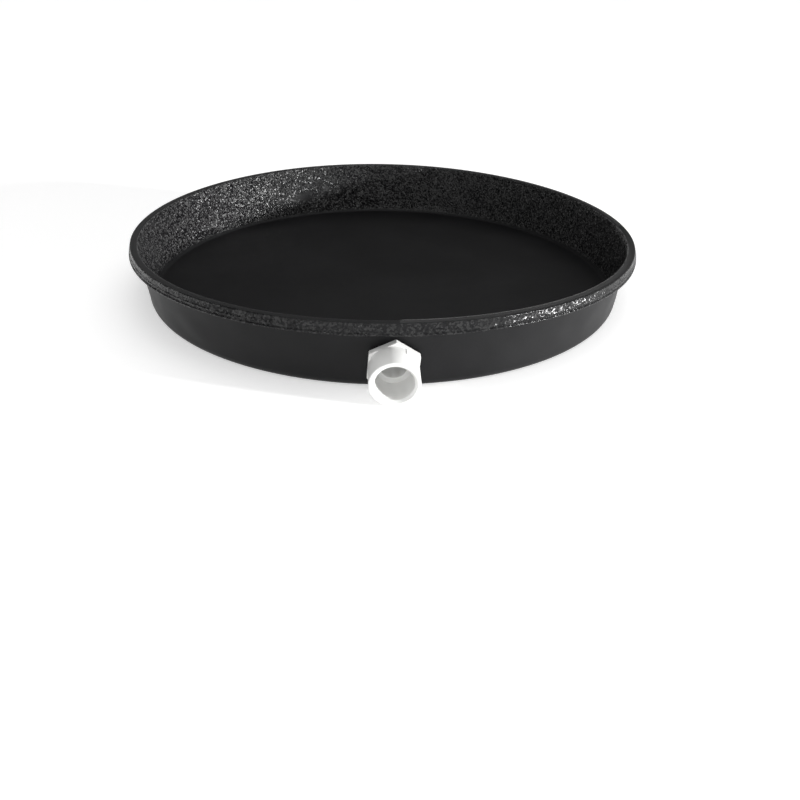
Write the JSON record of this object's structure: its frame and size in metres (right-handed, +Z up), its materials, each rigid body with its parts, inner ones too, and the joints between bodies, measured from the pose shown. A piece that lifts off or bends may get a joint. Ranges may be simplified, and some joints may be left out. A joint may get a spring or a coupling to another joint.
{
  "type": "drain pan",
  "caption": "Shallow round black plastic drain pan with a folded lip and a white screwed-in side drain adapter.",
  "frame": {"origin": "centre of the pan's underside", "axes": "+Z up, square to the base; the drain outlet leaves towards -Y; +X to the right seen from the drain"},
  "size_m": [0.5588, 0.581, 0.065],
  "materials": {
    "black_sheet": "fine haircell grain inside and on the lip, smooth satin outside",
    "black_rubber": "matt moulded rubber",
    "white_pvc": "moulded, low gloss",
    "natural_nylon": "natural, slightly translucent look, matt"
  },
  "bodies": {
    "pan_body": {"pan": "black_sheet", "outer_gasket": "black_rubber", "drain_adapter": "white_pvc"},
    "washer_body": {"slip_washer": "natural_nylon"},
    "locknut_body": {"locknut": "white_pvc"}
  },
  "joints": [
    {"name": "locknut_travel", "type": "slide", "parent": "pan_body", "child": "washer_body", "axis": [0, 0.9942, 0.108], "range_m": [0, 0.01326]},
    {"name": "locknut_turn", "type": "hinge", "parent": "washer_body", "child": "locknut_body", "pos_m": [0, -0.25797, 0.02677], "axis": [0, 0.9942, 0.108], "range_deg": [0, 2160]}
  ],
  "couplings": [
    {"joint": "locknut_travel", "follows": "locknut_turn", "m_per_rad": 0.00035157}
  ]
}
